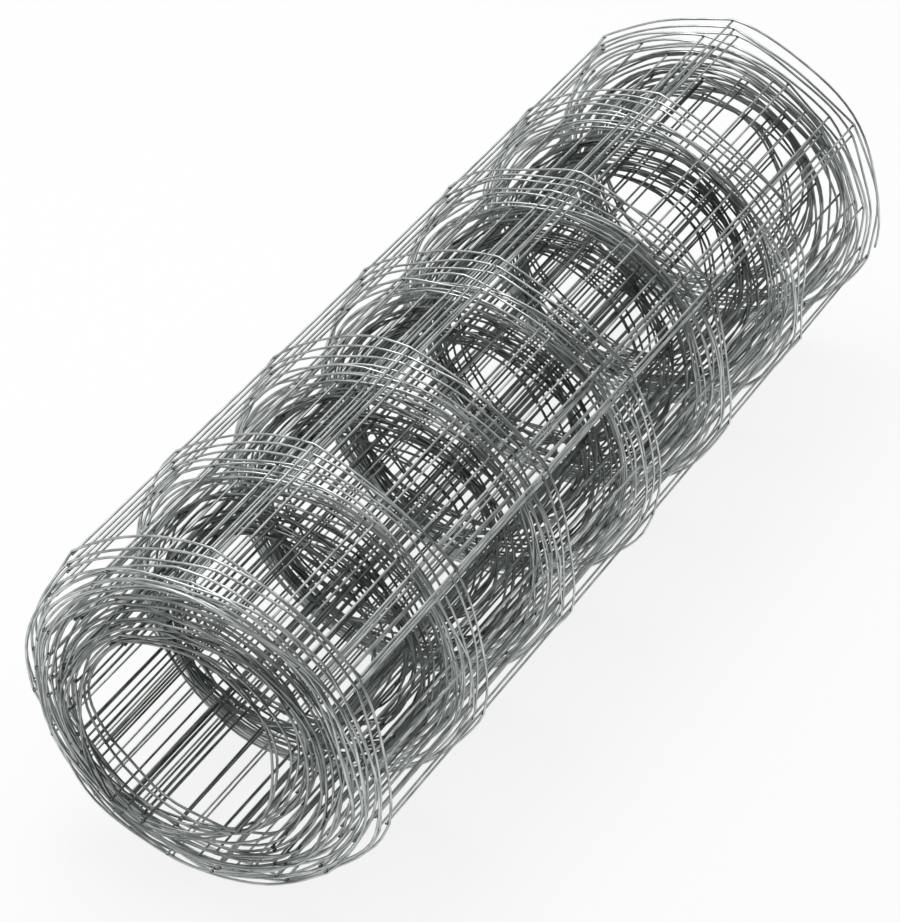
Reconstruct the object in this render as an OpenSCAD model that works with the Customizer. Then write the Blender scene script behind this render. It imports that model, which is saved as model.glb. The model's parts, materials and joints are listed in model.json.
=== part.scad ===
// Roll of galvanised wire fencing, lying on its side with its axis along X.
// The wound turns are one turned solid with a bore. The edge wires of the turns show on both ends,
// and the outermost turn lies round the solid as line wires and stays.

/* [Mesh] */
// Distance from one stay to the next along the fence
stay_pitch = 150; // [110:5:200]
// Distance from one line wire to the next up the fence
line_pitch = 150; // [80:5:200]
// Line wires up the height of the fence
line_wires = 7; // [3:1:12]
// Diameter of the wire
wire_d = 2; // [1.6:0.1:4]

/* [Roll] */
// Stays round the outermost turn
stays_per_turn = 7; // [6:1:9]
// How far the outermost turn bows out between two stays
side_bow = 10; // [5:0.5:13]
// Diameter of the bore inside the innermost turn
bore_d = 176; // [100:2:240]
// Clear gap between the edge wires of two turns
turn_gap = 0.6; // [0.4:0.1:6]
// How far the innermost turn stands out past the outermost one at the near end
telescope = 43; // [0:1:80]
// Share of that distance by which only the loose outer turns have slid
loose_slide_share = 0.6; // [0:0.05:1]
// Depth of the gap between the edge wires of two turns
edge_gap_depth = 8; // [2:1:40]

/* [Hidden] */
$fn = 96;
galvanised = "#8f9696";
// How sharply the slide of the loose outer turns dies away inwards
loose_slide_power = 16;

wire_r = wire_d / 2;
bore_r = bore_d / 2;
roll_w = (line_wires - 1) * line_pitch + wire_d;

// Outermost turn: a polygon with its stays at the corners and sides bowed out between them
side_step = 360 / stays_per_turn;
corner_r = stay_pitch / 2 / sin(side_step / 2);
side_reach = corner_r * cos(side_step / 2) + side_bow;
side_r = (pow(stay_pitch / 2, 2) + pow(side_bow, 2)) / (2 * side_bow);
side_centre = side_r - side_reach;
axis_z = side_reach + wire_r;

// Wound turns: as many as fit between the bore and the sides of the outermost turn
turns = floor((side_reach - bore_r - wire_d) / (wire_d + turn_gap)) + 1;
turn_step = (side_reach - bore_r - wire_d) / (turns - 1);

// Inner face of a turn, counted from the innermost one
function turn_face(k) = bore_r + k * turn_step;

// How far a turn has slid along the axis: the packed ones evenly, the loose outer ones more
function slide_shares(u) = (1 - loose_slide_share) * u + loose_slide_share * pow(u, loose_slide_power);
function turn_slide(k) = telescope * (slide_shares(k / (turns - 1)) - 1 / 2);

// Where a turn's edge wires end along the axis
function near_end(k) = turn_slide(k) - roll_w / 2;
function far_end(k) = turn_slide(k) + roll_w / 2;

// Section of the near end, from the bore outwards
near_section = [
    for (k = [0:turns - 1])
        each [
            if (k > 0) [turn_face(k), near_end(k) + edge_gap_depth],
            [turn_face(k), near_end(k)],
            [turn_face(k) + wire_d, near_end(k)],
            if (k < turns - 1) [turn_face(k) + wire_d, near_end(k + 1) + edge_gap_depth]
        ]
];

// Section of the far end, from the outermost turn back to the bore
far_section = [
    for (k = [turns - 1:-1:0])
        each [
            if (k < turns - 1) [turn_face(k) + wire_d, far_end(k) - edge_gap_depth],
            [turn_face(k) + wire_d, far_end(k)],
            [turn_face(k), far_end(k)],
            if (k > 0) [turn_face(k), far_end(k - 1) - edge_gap_depth]
        ]
];

// Turns the roll's own axis from Z to X, with the first side of its outline facing down
module lay_down() {
    translate([0, 0, axis_z]) rotate([0, 90, 0]) children();
}

// The wound turns with the bore through them
module wound_turns() {
    rotate_extrude() polygon(concat(near_section, far_section));
}

// Outline of the outermost turn along the middle of its wires, grown by a share of the wire
module turn_outline(grow) {
    intersection_for (i = [0:stays_per_turn - 1])
        rotate(i * side_step)
            translate([-side_centre, 0])
                circle(r = side_r + grow);
}

// One line wire of the outermost turn, with its lower face at zero
module line_wire() {
    linear_extrude(height = wire_d)
        difference() {
            turn_outline(wire_r);
            turn_outline(-wire_r);
        }
}

// Line wires and stays of the outermost turn
module outer_turn() {
    translate([0, 0, near_end(turns - 1)]) {
        for (i = [0:line_wires - 1])
            translate([0, 0, i * line_pitch]) line_wire();
        for (i = [0:stays_per_turn - 1])
            rotate((i + 1 / 2) * side_step)
                translate([corner_r - wire_r, 0, wire_r])
                    cylinder(h = roll_w - wire_d, r = wire_r);
    }
}

module fence_roll() {
    color(galvanised) lay_down() {
        wound_turns();
        outer_turn();
    }
}

fence_roll();
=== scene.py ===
"""Roll of galvanised welded wire fencing, lying on a pale floor.

The fence is wound as one spiral. Its stays are placed along the spiral first, each a nearly straight bar
with small errors of its own. Every line wire is then drawn from stay to stay, and every crossing gets
a weld.
"""
import json
import math

import bpy
import numpy as np
from mathutils import Matrix, Vector


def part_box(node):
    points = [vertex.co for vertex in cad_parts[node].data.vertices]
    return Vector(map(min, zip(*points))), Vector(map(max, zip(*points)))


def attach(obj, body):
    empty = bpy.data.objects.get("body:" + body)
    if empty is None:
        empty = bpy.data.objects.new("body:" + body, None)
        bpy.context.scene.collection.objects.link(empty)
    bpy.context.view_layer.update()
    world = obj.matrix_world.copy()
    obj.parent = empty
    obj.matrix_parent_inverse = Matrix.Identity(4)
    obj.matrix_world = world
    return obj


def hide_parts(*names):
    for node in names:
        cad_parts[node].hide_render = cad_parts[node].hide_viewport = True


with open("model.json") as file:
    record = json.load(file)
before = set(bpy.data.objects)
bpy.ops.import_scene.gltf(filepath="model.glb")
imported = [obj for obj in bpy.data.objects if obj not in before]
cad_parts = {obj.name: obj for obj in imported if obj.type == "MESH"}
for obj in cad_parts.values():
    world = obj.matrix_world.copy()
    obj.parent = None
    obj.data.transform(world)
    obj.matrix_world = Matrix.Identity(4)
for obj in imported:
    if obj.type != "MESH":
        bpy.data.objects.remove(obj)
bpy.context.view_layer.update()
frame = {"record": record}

rng = np.random.default_rng(27)
FULL_TURN = 2 * math.pi
ALONG_AXIS = np.array([1.0, 0, 0])

# Fence, in metres: its two edge wires are the thickest, and each stay has a stub past them
STAY_PITCH = 0.150
LINE_PITCH = 0.150
LINE_WIRES = 7
EDGES = (0, LINE_WIRES - 1)
EDGE_D = 0.0023
LINE_D = 0.0021
STAY_D = 0.0021
STAY_STUB = 0.0022
FENCE_W = (LINE_WIRES - 1) * LINE_PITCH

# Welds: half sizes along the roll's axis, along the line wire and outwards, the range in which they vary,
# and the share of both wires' diameters that lies between their middles
WELD = (0.0018, 0.0017, 0.0013)
WELD_RANGE = (0.85, 1.15)
WELDED_SHARE = 0.45

# Roll, from the frame: the bore, the middle of the outermost stays, and how far the turns have slid in all
bore = next(m for m in frame["record"]["mounts"] if m["name"] == "spindle_bore")
BORE_R = bore["dims"]["r_mm"] / 1000
AXIS_Z = bore["pos_m"][2]
low, high = (Vector(corner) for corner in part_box("fence_roll"))
OUTER_R = high.z - AXIS_Z - EDGE_D - STAY_D / 2
SLIDE = high.x - low.x - FENCE_W - EDGE_D

# Winding: turns are counted inwards from the free end, and angles run from straight up towards the camera.
# The first stays keep to one step of angle, and each later one is a pitch of wire further on
TURNS = 30.3
FREE_END_ARC = math.radians(50)
OUTER_STAYS = 15
OUTER_STEP = math.radians(51.2)

# Radius: a few loose turns, then a pack whose spacing rises and falls in waves, each given by its length in
# turns and the share of the spacing by which it varies
LOOSE_TURNS = 4.6
LOOSE_DROP = 0.0034
BORE_SLACK = 0.003
PACK_DROP = (OUTER_R - LOOSE_TURNS * LOOSE_DROP - BORE_R - BORE_SLACK) / (TURNS - LOOSE_TURNS)
PACK_WAVES = ((4.6, 0.20), (2.7, 0.15))

# Slide along the axis: the share that only the loose turns have, how sharply it dies away inwards, and how
# the pack leans, which starts below the outermost turn
LOOSE_SLIDE = 0.6
LOOSE_SLIDE_POWER = 16
TILT = 0.011
TILT_TO = math.radians(245)
TILT_FROM_TURN = 0.3

# Settling: packed turns have sunk, the inner bundle stands higher and further back, inner turns widen
# towards the far end, and the roll is wider than high
SAG = 0.005
INNER_TURNS = 13
INNER_RISE = 0.008
INNER_BACK = 0.005
CONE = 0.0035
OVAL = 1.013

# Unevenness that neighbouring turns share: its waves round the roll, how fast they change from turn to turn,
# and how far they push the stays in, out and along, more so in the inner bundle, and the spans between them
UNEVEN_WAVES = (1, 2, 3, 5)
UNEVEN_RATE = 0.35
STAY_PUSH = 0.0022
INNER_PUSH = 0.003
SLIDE_WANDER = 0.006
INNER_WANDER = 1.5
SPAN_FULLNESS = 0.12
SPAN_WAVER = 0.0055

# Errors of each stay by itself. Most set in after the first turn and are full a few turns further in
ERRORS_FROM_TURN = 1.05
ERRORS_OVER_TURNS = 3
SLIDE_ERROR = 0.001
ANGLE_ERROR = 0.015
RADIUS_ERROR = 0.0006
TILT_ERROR = 0.0012
SKEW_ERROR = 0.006
BEND_ERROR = 0.006
BEND_WAVE = 3
OUTER_BEND = 0.3
BOW_ERROR = 0.0008

# Spans of the line wires: a fullness of 0 is straight from stay to stay, and 1 follows the turn. Loose spans
# are straighter and vary less. The errors and the ripple are those of each span by itself
SPAN_FULL = 0.93
LOOSE_STRAIGHTER = 0.25
LOOSE_CALMER = 0.6
FULL_ERROR = 0.03
LEAN_ERROR = 0.04
WAVER_ERROR = 0.0010
SPAN_RIPPLE = 0.0010
RIPPLE_WAVE = 3 * math.pi

# Free ends: the range of degrees by which they are hooked round a stay, the stays among which it is found,
# how far the wire bows out on its way there, and the arc and wave of an end that no stay holds
HOOK_DEGREES = (220, 320)
HOOK_STAYS = slice(1, 10)
END_BOW = (0.008, 0.012)
TAIL_ARC = 2 * FREE_END_ARC
TAIL_WAVE = 0.004

# Meshes: how finely they are drawn, and the radius of a cut end in its cell of the texture map
WIRE_SIDES = 8
SPAN_STEPS = 12
BAY_STEPS = 3
HOOK_STEPS = 14
WELD_SIDES = 8
WELD_RINGS = 4
CAP_ON_MAP = 0.4

# Zinc: its own colour down to one turn, then painted shade that is full from another turn, where the outer
# turns shade the inner ones, and less painted shade on the edge wires, which lie open to light at the roll's
# ends.
# Each colour is a pair, of the darkest and the lightest patches
SHADE_FROM_TURN = 8
FULL_SHADE_TURN = 16
# Share of the painted shade that the edge wires get, as they lie open to light at the roll's ends
EDGE_SHADE_SHARE = 0.6
BRIGHT_ZINC = ((0.340, 0.367, 0.353), (0.745, 0.778, 0.763))
# The darker pair is painted shade for the inner turns, not a zinc of their own
PAINTED_SHADE_ZINC = ((0.078, 0.088, 0.083), (0.258, 0.278, 0.268))
BURNT_ZINC = ((0.030, 0.030, 0.029), (0.11, 0.11, 0.105))
ZINC_GLANCE = (0.53, 0.57, 0.55, 1)
ZINC_ROUGHNESS = (0.24, 0.42)
BURNT_ROUGHNESS = (0.45, 0.7)

# Marks on the zinc: how fine they are along a metre of wire and round it, and the range of metres in which
# each wire starts. Most of what noise gives lies in one range, and the patches take a little less of it
PATCHES = (60, 0.5, 0.5)
DRAW_LINES = (60, 5, 5)
SPANGLE = (900, 1, 1)
BURNT_SPOTS = 700
GRAIN_START = 50
NOISE_RANGE = (0.3, 0.7)
PATCH_RANGE = (0.32, 0.66)

# Floor: its side, and how much of what is seen of it is plain white
FLOOR_SIDE = 80
FLOOR_WHITE = 0.84


def ease(t):
    """From 0 to 1 with a flat start and end."""
    return t * t * (3 - 2 * t)


def turn_radius(turn):
    """Radius of the winding: a few loose turns, then turns packed in bundles down to the bore."""
    packed = np.maximum(turn - LOOSE_TURNS, 0)
    bundled = packed
    for turns, pull in PACK_WAVES:
        wave = FULL_TURN / turns
        bundled = bundled - pull / wave * np.sin(wave * packed)
    return OUTER_R - LOOSE_DROP * np.minimum(turn, LOOSE_TURNS) - PACK_DROP * bundled


def turn_slide(turn, angle):
    """How far a turn has slid along the axis. The pack leans over a little as well."""
    outwards = np.clip(1 - turn / TURNS, 0, 1)
    share = (1 - LOOSE_SLIDE) * outwards + LOOSE_SLIDE * outwards ** LOOSE_SLIDE_POWER
    lean = TILT * np.clip(turn - TILT_FROM_TURN, 0, 1) * np.cos(angle - TILT_TO)
    return SLIDE * (share - 0.5) - lean


def turn_innerness(turn):
    """0 in most of the roll, rising to 1 in the bundle round the bore."""
    return ease(np.clip(2 * (turn - TURNS + INNER_TURNS) / INNER_TURNS, 0, 1))


def turn_centre(turn):
    """Middle of a turn, off the roll's axis: packed turns have sunk, and the inner bundle stands higher."""
    up = INNER_RISE * turn_innerness(turn) - SAG * np.clip(turn / LOOSE_TURNS, 0, 1)
    return np.stack([np.zeros_like(up), INNER_BACK * turn_innerness(turn), up], -1)


def turn_painted_shade(turn):
    """Share of painted shade on the zinc: 0 in the outer turns, rising to 1 deep in the roll, where the
    outer turns shade it.
    """
    return np.clip((turn - SHADE_FROM_TURN) / (FULL_SHADE_TURN - SHADE_FROM_TURN), 0, 1)


class Uneven:
    """A smooth unevenness, mostly between -1 and 1, that changes little from one turn to the next."""

    def __init__(self):
        self.waves = [(m, rng.normal(0, UNEVEN_RATE), rng.uniform(0, FULL_TURN)) for m in UNEVEN_WAVES]

    def at(self, angle, turn):
        return sum(np.sin(m * angle + rate * turn + start) for m, rate, start in self.waves) / 2


def stay_turns():
    """Turn count at each stay. The wire between two stays is always about one pitch long."""
    turn = FREE_END_ARC / FULL_TURN
    found = []
    while turn < TURNS:
        found.append(turn)
        step = OUTER_STEP if len(found) < OUTER_STAYS else STAY_PITCH / float(turn_radius(turn))
        turn += step / FULL_TURN
    return np.array(found)


class Stays:
    """The stays as nearly straight bars: where each one is at any place along the roll's axis."""

    def __init__(self):
        self.turn = stay_turns()
        count = len(self.turn)
        packed = np.clip((self.turn - ERRORS_FROM_TURN) / ERRORS_OVER_TURNS, 0, 1)
        inner = turn_innerness(self.turn)
        self.angle = FREE_END_ARC - FULL_TURN * self.turn
        wander = SLIDE_WANDER * (1 + INNER_WANDER * inner) * Uneven().at(self.angle, self.turn)
        wander += rng.normal(0, SLIDE_ERROR, count)
        self.slide = turn_slide(self.turn, self.angle) + packed * wander
        self.angle = self.angle + packed * rng.normal(0, ANGLE_ERROR, count)
        push = (STAY_PUSH + INNER_PUSH * inner) * Uneven().at(self.angle, self.turn)
        push += rng.normal(0, RADIUS_ERROR, count)
        self.radius = turn_radius(self.turn) + packed * push
        self.tilt = packed * rng.normal(0, TILT_ERROR, count) + CONE * (self.turn / TURNS) ** 2
        self.skew = packed * rng.normal(0, SKEW_ERROR, count)
        self.bend = (OUTER_BEND + packed) * rng.normal(0, BEND_ERROR, count)
        self.bend_at = rng.uniform(0, FULL_TURN, count)
        self.bow = rng.normal(0, BOW_ERROR, count)
        self.centre = turn_centre(self.turn)

    def polar(self, j, along):
        """Radius, angle and place along the axis, where along runs from -1 to 1 over the fence's width."""
        radius = self.radius[j] + self.tilt[j] * along + self.bow[j] * (1 - along ** 2)
        bend = self.bend[j] * np.sin(BEND_WAVE * along + self.bend_at[j])
        angle = self.angle[j] + self.skew[j] * along + bend
        return radius, angle, self.slide[j] + along * FENCE_W / 2

    def place(self, j, along, lift=0.0):
        """Place in the frame, lifted outwards from the middle of the stay."""
        radius, angle, x = self.polar(j, along)
        return to_space(radius + lift, angle, x) + self.centre[j]


def to_space(radius, angle, x):
    """Place in the frame. The roll has settled, so it is a little wider than high."""
    y, z = -OVAL * radius * np.sin(angle), AXIS_Z + radius * np.cos(angle)
    return np.stack(np.broadcast_arrays(x, y, z), -1)


def outward(angle):
    """Direction away from the roll's axis."""
    return np.array([0.0, -math.sin(angle), math.cos(angle)])


def forward(angle):
    """Direction round the roll, the way the angle grows."""
    return np.array([0.0, -math.cos(angle), -math.sin(angle)])


def line_diameter(i):
    """Diameter of a line wire."""
    return EDGE_D if i in EDGES else LINE_D


def line_lift(i):
    """Distance from the middle of a stay to the middle of the line wire that is welded on it."""
    return WELDED_SHARE * (line_diameter(i) + STAY_D)


def line_along(i):
    """Where a line wire crosses the stays, from -1 to 1."""
    return 2 * i / (LINE_WIRES - 1) - 1


def between(values, share):
    """Values on the way from each stay to the next."""
    return values[:-1, None] * (1 - share) + values[1:, None] * share


def line_path(stays, i):
    """Middle line of one line wire, from the free end to the innermost cut."""
    count = len(stays.turn)
    radius, angle, x = stays.polar(np.arange(count), line_along(i))
    radius = radius + line_lift(i)
    knots = to_space(radius, angle, x) + stays.centre
    here = stays.angle[:-1], stays.turn[:-1]
    loose = np.clip(1 - stays.turn[:-1] / LOOSE_TURNS, 0, 1)
    full = SPAN_FULL - LOOSE_STRAIGHTER * loose
    full += (1 - LOOSE_CALMER * loose) * SPAN_FULLNESS * Uneven().at(*here)
    full += rng.normal(0, FULL_ERROR, count - 1)
    lean = SPAN_FULLNESS * Uneven().at(*here) + rng.normal(0, LEAN_ERROR, count - 1)
    waver = SPAN_WAVER * Uneven().at(*here) + rng.normal(0, WAVER_ERROR, count - 1)
    ripple = rng.normal(0, SPAN_RIPPLE, count - 1)

    t = np.linspace(0, 1, SPAN_STEPS, endpoint=False)[None, :]
    rippled = between(radius, ease(t)) + ripple[:, None] * np.sin(RIPPLE_WAVE * t)
    arc = to_space(rippled, between(angle, t), between(x, ease(t)))
    arc += between(stays.centre, t[..., None])
    chord = between(knots, t[..., None])
    share = full[:, None] + lean[:, None] * np.sin(FULL_TURN * t)
    path = chord + share[..., None] * (arc - chord)
    path[..., 0] += waver[:, None] * np.sin(math.pi * t)
    path[..., 2] = np.maximum(path[..., 2], line_diameter(i) / 2)
    return np.concatenate([free_end(stays, i), path.reshape(-1, 3), knots[-1:]])


def free_end(stays, i):
    """The stretch of a line wire past the outermost stay, hooked round a stay of the turn below it."""
    radius, angle, x = stays.polar(0, line_along(i))
    off_end = np.abs(stays.angle[HOOK_STAYS] + FULL_TURN - FREE_END_ARC)
    below = HOOK_STAYS.start + int(np.argmin(off_end))
    seat_along = (x - stays.slide[below]) / (FENCE_W / 2)
    if abs(seat_along) > 1:
        return loose_tail(radius + line_lift(i), angle, x)
    seat = stays.place(below, seat_along)
    at = stays.polar(below, seat_along)[1]
    reach = (line_diameter(i) + STAY_D) / 2
    wrap = np.linspace(math.radians(rng.uniform(*HOOK_DEGREES)), 0, HOOK_STEPS)[:, None]
    hook = seat + reach * (np.cos(wrap) * outward(at) + np.sin(wrap) * forward(at))
    hook[:, 0] += line_diameter(i) * wrap[:, 0] / FULL_TURN
    start = stays.place(0, line_along(i), line_lift(i))
    t = np.linspace(1, 0, SPAN_STEPS + 1, endpoint=False)[1:, None]
    bow = 4 * t * (1 - t) * rng.uniform(*END_BOW) * outward((angle + at + FULL_TURN) / 2)
    return np.concatenate([hook, start * (1 - t) + hook[-1] * t + bow])


def loose_tail(radius, angle, x):
    """The free end of a line wire that has no stay below it."""
    t = np.linspace(1, 0, 2 * SPAN_STEPS, endpoint=False)
    wave = TAIL_WAVE * np.sin(FULL_TURN * t) ** 2
    return to_space(radius - wave, angle + TAIL_ARC * t, np.full_like(t, x))


def stay_path(stays, j):
    """Middle line of one stay, with a stub past each edge wire."""
    reach = 1 + 2 * STAY_STUB / FENCE_W
    steps = (LINE_WIRES - 1) * BAY_STEPS
    along = np.concatenate([[-reach], np.linspace(-1, 1, steps + 1), [reach]])
    return stays.place(j, along)


def grid_cells(count):
    """Lower left corners of a square grid of texture cells, and the size of a cell."""
    side = math.ceil(math.sqrt(count))
    g = np.arange(count)
    return np.stack([g % side, g // side], -1) / side, 1 / side


def mesh_piece(name, verts, faces, uv, grain, material):
    """One smooth object from its vertices and faces, with the maps that its material reads."""
    mesh = bpy.data.meshes.new(name)
    mesh.from_pydata(verts.tolist(), [], faces)
    mesh.polygons.foreach_set("use_smooth", np.ones(len(faces), dtype=bool))
    mesh.uv_layers.new(name="OFBake").data.foreach_set("uv", uv.ravel())
    mesh.attributes.new("grain", "FLOAT_VECTOR", "POINT").data.foreach_set("vector", grain.ravel())
    mesh.materials.append(material)
    mesh.update()
    piece = bpy.data.objects.new(name, mesh)
    bpy.context.collection.objects.link(piece)
    return piece


def tube(path, radius, reference):
    """Vertices, faces and grain of a round wire. The reference is never parallel to the path.

    The grain is the place along the wire and round it.
    """
    tangent = np.gradient(path, axis=0)
    tangent /= np.linalg.norm(tangent, axis=1, keepdims=True)
    side = reference - (tangent @ reference)[:, None] * tangent
    side /= np.linalg.norm(side, axis=1, keepdims=True)
    other = np.cross(tangent, side)
    turn = np.arange(WIRE_SIDES) * FULL_TURN / WIRE_SIDES
    ring = np.cos(turn)[None, :, None] * side[:, None] + np.sin(turn)[None, :, None] * other[:, None]
    verts = (path[:, None] + radius * ring).reshape(-1, 3)
    start = np.arange(len(path) - 1)[:, None] * WIRE_SIDES
    here = start + np.arange(WIRE_SIDES)
    after = start + (np.arange(WIRE_SIDES) + 1) % WIRE_SIDES
    quads = np.stack([here, after, after + WIRE_SIDES, here + WIRE_SIDES], -1).reshape(-1, 4)
    along = np.concatenate([[0], np.cumsum(np.linalg.norm(np.diff(path, axis=0), axis=1))])
    grain = np.stack(np.broadcast_arrays(along[:, None], np.cos(turn)[None], np.sin(turn)[None]), -1)
    return verts, quads, grain.reshape(-1, 3)


def wires_map(bands, caps):
    """Texture map of the wires: a cell for each ring of side faces and for each cut end."""
    corners, cell = grid_cells(bands + caps)
    here = np.arange(WIRE_SIDES) / WIRE_SIDES
    after = here + 1 / WIRE_SIDES
    zero, one = np.zeros(WIRE_SIDES), np.ones(WIRE_SIDES)
    face = np.stack([np.stack([zero, zero, one, one], -1), np.stack([here, after, after, here], -1)], -1)
    disc = 0.5 + CAP_ON_MAP * np.stack([np.cos(FULL_TURN * here), np.sin(FULL_TURN * here)], -1)
    side_map = corners[:bands, None, None] + cell * face
    cap_map = corners[bands:, None] + cell * disc
    return np.concatenate([side_map.reshape(-1, 2), cap_map.reshape(-1, 2)])


def wires_piece(name, wires, material, cut_material):
    """One mesh of many wires, each a path, a radius, a reference direction and how much painted shade its
    zinc has.
    """
    verts, quads, caps, grain, painted_shade, base = [], [], [], [], [], 0
    for path, radius, reference, shade_share in wires:
        v, q, g = tube(path, radius, reference)
        verts.append(v)
        quads.append(q + base)
        grain.append(g + [rng.uniform(0, GRAIN_START), 0, 0])
        painted_shade.append(np.repeat(np.broadcast_to(shade_share, len(path)), WIRE_SIDES))
        first = base + np.arange(WIRE_SIDES)
        caps += [first[::-1].tolist(), (first + len(v) - WIRE_SIDES).tolist()]
        base += len(v)
    quads = np.concatenate(quads)
    uv = wires_map(len(quads) // WIRE_SIDES, len(caps))
    faces = quads.tolist() + caps
    piece = mesh_piece(name, np.concatenate(verts), faces, uv, np.concatenate(grain), material)
    mesh = piece.data
    # Share of painted shade at each vertex, read by the zinc material
    mesh.attributes.new("painted_shade", "FLOAT", "POINT").data.foreach_set("value", np.concatenate(painted_shade))
    mesh.materials.append(cut_material)
    is_cap = np.arange(len(faces)) >= len(quads)
    mesh.polygons.foreach_set("use_smooth", ~is_cap)
    mesh.polygons.foreach_set("material_index", is_cap.astype(np.int32))
    return piece


def line_piece(stays, i, zinc, scale):
    """One line wire from end to end."""
    path = line_path(stays, i)
    # Painted shade grows with the turn: the free end has none, and the innermost cut has it in full
    spans = np.repeat(turn_painted_shade(stays.turn[:-1]), SPAN_STEPS)
    painted_shade = np.concatenate([np.zeros(len(path) - len(spans) - 1), spans, [1.0]])
    # Edge wires get less painted shade, as they lie open to light at the roll's ends
    if i in EDGES:
        painted_shade *= EDGE_SHADE_SHARE
    wire = path, line_diameter(i) / 2, ALONG_AXIS, painted_shade
    return wires_piece(f"line_wire_{i + 1}", [wire], zinc, scale)


def stays_piece(stays, zinc, scale):
    """All the stays."""
    # Each stay carries the painted shade of its turn
    bars = [(stay_path(stays, j), STAY_D / 2, outward(stays.angle[j]), turn_painted_shade(stays.turn[j]))
            for j in range(len(stays.turn))]
    return wires_piece("stays", bars, zinc, scale)


def bead():
    """A unit ball: its vertices, its faces and the corners of each face on the map."""
    heights = np.cos(np.pi * np.arange(1, WELD_RINGS + 1) / (WELD_RINGS + 1))
    turn = np.arange(WELD_SIDES) * FULL_TURN / WELD_SIDES
    rings = [np.stack([math.sqrt(1 - h * h) * np.cos(turn), math.sqrt(1 - h * h) * np.sin(turn),
                       np.full(WELD_SIDES, h)], -1) for h in heights]
    verts = np.concatenate([[[0, 0, 1]], *rings, [[0, 0, -1]]])
    rows = np.arange(WELD_RINGS + 2) / (WELD_RINGS + 1)
    last_ring = 1 + (WELD_RINGS - 1) * WELD_SIDES
    last = len(verts) - 1
    faces, uv = [], []
    for k in range(WELD_SIDES):
        after = (k + 1) % WELD_SIDES
        left, right = k / WELD_SIDES, (k + 1) / WELD_SIDES
        middle = (left + right) / 2
        faces.append([0, 1 + k, 1 + after])
        uv += [(middle, rows[0]), (left, rows[1]), (right, rows[1])]
        for r in range(WELD_RINGS - 1):
            upper, lower = 1 + r * WELD_SIDES, 1 + (r + 1) * WELD_SIDES
            faces.append([upper + k, lower + k, lower + after, upper + after])
            uv += [(left, rows[r + 1]), (left, rows[r + 2]), (right, rows[r + 2]), (right, rows[r + 1])]
        faces.append([last_ring + k, last, last_ring + after])
        uv += [(left, rows[-2]), (middle, rows[-1]), (right, rows[-2])]
    return verts, faces, np.array(uv)


def welds_piece(stays, scale):
    """One small squashed bead between each stay and each line wire."""
    ball, ball_faces, ball_uv = bead()
    places = [(j, i) for j in range(len(stays.turn)) for i in range(LINE_WIRES)]
    corners, cell = grid_cells(len(places))
    verts, faces, uv = [], [], []
    for (j, i), corner in zip(places, corners):
        axes = np.stack([ALONG_AXIS, forward(stays.angle[j]), outward(stays.angle[j])])
        size = np.array(WELD) * rng.uniform(*WELD_RANGE, 3)
        base = len(verts) * len(ball)
        verts.append(stays.place(j, line_along(i), line_lift(i) / 2) + (ball * size) @ axes)
        faces += [[base + v for v in face] for face in ball_faces]
        uv.append(corner + cell * ball_uv)
    verts = np.concatenate(verts)
    return mesh_piece("welds", verts, faces, np.concatenate(uv), verts, scale)


class Nodes:
    """Short calls for building a material's nodes."""

    def __init__(self, name):
        self.material = bpy.data.materials.new(name)
        self.material.use_nodes = True
        self.tree = self.material.node_tree
        self.shader = self.tree.nodes["Principled BSDF"]

    def add(self, kind, **inputs):
        """New node with some of its inputs, by their names."""
        node = self.tree.nodes.new(kind)
        for socket, value in inputs.items():
            self.put(value, node.inputs[socket])
        return node

    def put(self, value, socket):
        """Links a socket's value, or sets it where it is the same all over."""
        if isinstance(value, bpy.types.NodeSocket):
            self.tree.links.new(value, socket)
        else:
            socket.default_value = value

    def attribute(self, name, output):
        """What the mesh says at a point."""
        node = self.add("ShaderNodeAttribute")
        node.attribute_name = name
        return node.outputs[output]

    def noise(self, place, scale, detail):
        """Noise from 0 to 1."""
        return self.add("ShaderNodeTexNoise", Vector=place, Scale=scale, Detail=detail).outputs["Fac"]

    def marks(self, place, fineness, detail):
        """Noise that is as fine as asked for in each direction."""
        scaled = self.add("ShaderNodeMapping", Vector=place, Scale=fineness).outputs["Vector"]
        return self.noise(scaled, 1.0, detail)

    def ramp(self, value, colours, ends=NOISE_RANGE):
        """Colour that goes from the first to the second between two ends of the value."""
        node = self.add("ShaderNodeValToRGB", Fac=value)
        for element, end, colour in zip(node.color_ramp.elements, ends, colours):
            element.position = end
            element.color = (*colour, 1)
        return node.outputs["Color"]

    def span(self, value, low, high):
        """Number that goes from low to high over the range of the noise."""
        node = self.add("ShaderNodeMapRange", Value=value)
        for end, here, there in zip(("Min", "Max"), NOISE_RANGE, (low, high)):
            node.inputs[f"From {end}"].default_value = here
            node.inputs[f"To {end}"].default_value = there
        return node.outputs["Result"]

    def mix(self, share, a, b):
        """Mix of two colours. Its sockets go by number, because several have the same name."""
        node = self.add("ShaderNodeMix")
        node.data_type = "RGBA"
        self.put(share, node.inputs[0])
        self.put(a, node.inputs[6])
        self.put(b, node.inputs[7])
        return node.outputs[2]

    def math(self, operation, a, b):
        """Result of an operation on two numbers."""
        node = self.add("ShaderNodeMath")
        node.operation = operation
        self.put(a, node.inputs[0])
        self.put(b, node.inputs[1])
        return node.outputs["Value"]

    def bump(self, height, strength, distance):
        """Fine relief on the surface."""
        node = self.add("ShaderNodeBump", Height=height, Strength=strength, Distance=distance)
        self.put(node.outputs["Normal"], self.shader.inputs["Normal"])


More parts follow.
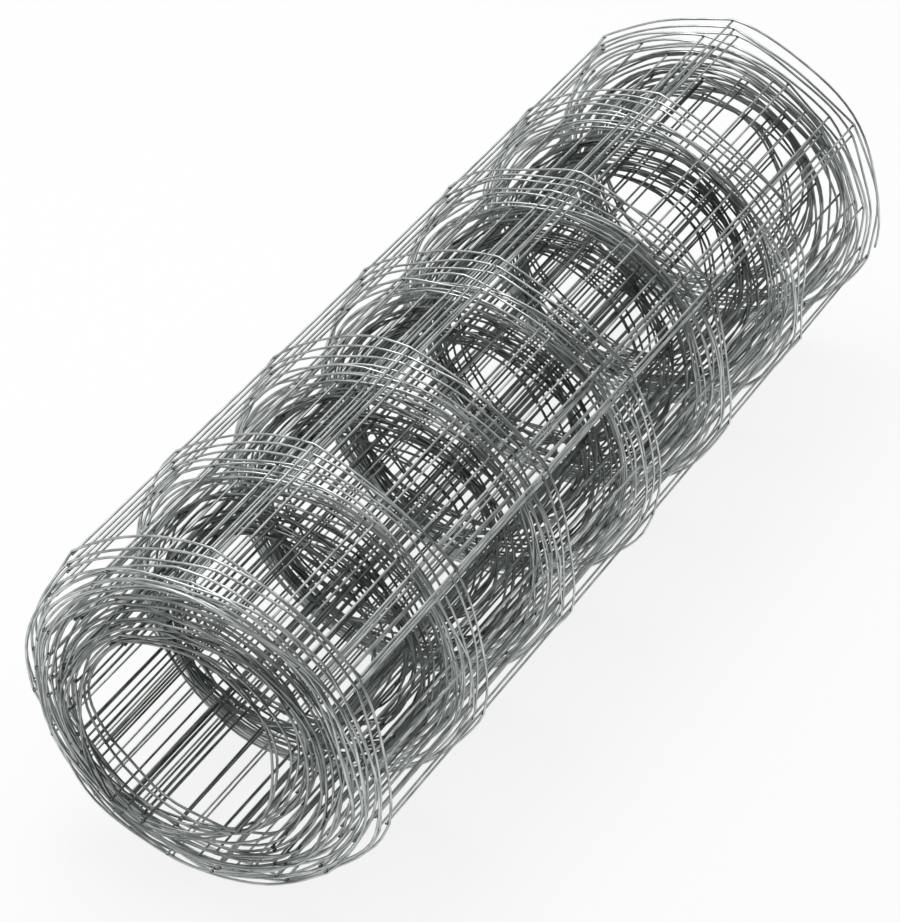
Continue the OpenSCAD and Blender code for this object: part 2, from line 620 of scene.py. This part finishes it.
def galvanised():
    """Zinc on drawn wire: dull and bright patches, fine draw lines, and painted shade deep in the roll."""
    nodes = Nodes("galvanised_wire")
    surface = nodes.shader.inputs
    surface["Metallic"].default_value = 1.0
    surface["Specular Tint"].default_value = ZINC_GLANCE
    grain = nodes.attribute("grain", "Vector")
    patches = nodes.marks(grain, PATCHES, detail=5.0)
    lines = nodes.marks(grain, DRAW_LINES, detail=3.0)
    spangle = nodes.marks(grain, SPANGLE, detail=2.0)
    bright = nodes.ramp(patches, BRIGHT_ZINC, PATCH_RANGE)
    painted_shade = nodes.ramp(patches, PAINTED_SHADE_ZINC, PATCH_RANGE)
    # Mixes the zinc towards a darker painted shade on the inner turns, where the outer turns shade them
    nodes.put(nodes.mix(nodes.attribute("painted_shade", "Fac"), bright, painted_shade), surface["Base Color"])
    nodes.put(nodes.span(lines, *ZINC_ROUGHNESS), surface["Roughness"])
    nodes.bump(spangle, strength=0.45, distance=0.0002)
    return nodes.material


def weld_scale():
    """Burnt zinc and scale, on the welds and the cut ends."""
    nodes = Nodes("weld_scale")
    surface = nodes.shader.inputs
    surface["Metallic"].default_value = 0.7
    spots = nodes.noise(nodes.attribute("grain", "Vector"), BURNT_SPOTS, detail=3.0)
    nodes.put(nodes.ramp(spots, BURNT_ZINC), surface["Base Color"])
    nodes.put(nodes.span(spots, *BURNT_ROUGHNESS), surface["Roughness"])
    nodes.bump(spots, strength=0.6, distance=0.0003)
    return nodes.material


def floor():
    """A wide pale floor, nearly white where it is seen, also in the metal, that keeps a soft shadow."""
    bpy.ops.mesh.primitive_plane_add(size=FLOOR_SIDE)
    plane = bpy.context.object
    plane.name = "floor"
    nodes = Nodes("pale_floor")
    nodes.shader.inputs["Base Color"].default_value = (0.9, 0.9, 0.9, 1)
    nodes.shader.inputs["Roughness"].default_value = 0.9
    rays = nodes.add("ShaderNodeLightPath").outputs
    mirrored = nodes.math("MAXIMUM", rays["Is Glossy Ray"], rays["Is Transmission Ray"])
    seen = nodes.math("MAXIMUM", rays["Is Camera Ray"], mirrored)
    white = nodes.add("ShaderNodeEmission")
    mix = nodes.add("ShaderNodeMixShader", Fac=nodes.math("MULTIPLY", seen, FLOOR_WHITE))
    nodes.put(nodes.shader.outputs["BSDF"], mix.inputs[1])
    nodes.put(white.outputs["Emission"], mix.inputs[2])
    nodes.put(mix.outputs["Shader"], nodes.tree.nodes["Material Output"].inputs["Surface"])
    plane.data.materials.append(nodes.material)


def camera():
    """Camera at the photo's viewing angle, fitted to the crossings of the outermost turn."""
    azimuth, elevation, roll = (math.radians(a) for a in (-60.66, 39.82, 1.69))
    target = Vector((-0.0555, 0, 0.1618))
    distance = 3.0773
    back = Vector((math.sin(azimuth) * math.cos(elevation), -math.cos(azimuth) * math.cos(elevation),
                   math.sin(elevation)))
    right = Vector((math.cos(azimuth), math.sin(azimuth), 0))
    up = back.cross(right)
    across = math.cos(roll) * right + math.sin(roll) * up
    upward = math.cos(roll) * up - math.sin(roll) * right
    data = bpy.data.cameras.new("camera")
    data.lens = 135.69
    data.sensor_width = 36
    eye = bpy.data.objects.new("camera", data)
    eye.matrix_world = Matrix.Translation(target + distance * back) @ Matrix(
        (across, upward, back)).transposed().to_4x4()
    bpy.context.collection.objects.link(eye)
    bpy.context.scene.camera = eye


def area_light(name, towards, distance, size, power):
    """A square lamp that faces the middle of the roll."""
    data = bpy.data.lights.new(name, "AREA")
    data.size = size
    data.energy = power
    lamp = bpy.data.objects.new(name, data)
    target = Vector((0, 0, AXIS_Z))
    towards = Vector(towards).normalized()
    lamp.location = target + distance * towards
    lamp.rotation_euler = (-towards).to_track_quat("-Z", "Y").to_euler()
    bpy.context.collection.objects.link(lamp)


def lights():
    """A broad soft light overhead and behind, with a smaller key light in it. The front stays dark."""
    area_light("key", towards=(0.10, 0.35, 0.93), distance=2.4, size=1.3, power=26)
    world = bpy.context.scene.world or bpy.data.worlds.new("world")
    bpy.context.scene.world = world
    world.use_nodes = True
    nodes, links = world.node_tree.nodes, world.node_tree.links
    place = nodes.new("ShaderNodeTexCoord")
    brightest = Vector((0.16, 0.36, 0.92)).normalized()
    facing = nodes.new("ShaderNodeVectorMath")
    facing.operation = "DOT_PRODUCT"
    facing.inputs[1].default_value = brightest
    links.new(place.outputs["Generated"], facing.inputs[0])
    ramp = nodes.new("ShaderNodeValToRGB")
    for element, position, level in zip(ramp.color_ramp.elements, (0.25, 0.72), (0.03, 0.97)):
        element.position = position
        element.color = (level, level, level, 1)
    links.new(facing.outputs["Value"], ramp.inputs["Fac"])
    links.new(ramp.outputs["Color"], nodes["Background"].inputs["Color"])


bpy.context.scene.view_settings.view_transform = "Standard"
stays = Stays()
zinc = galvanised()
scale = weld_scale()
pieces = [line_piece(stays, i, zinc, scale) for i in range(LINE_WIRES)]
pieces += [stays_piece(stays, zinc, scale), welds_piece(stays, scale)]
for piece in pieces:
    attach(piece, "root")
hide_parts("fence_roll")
floor()
lights()
camera()
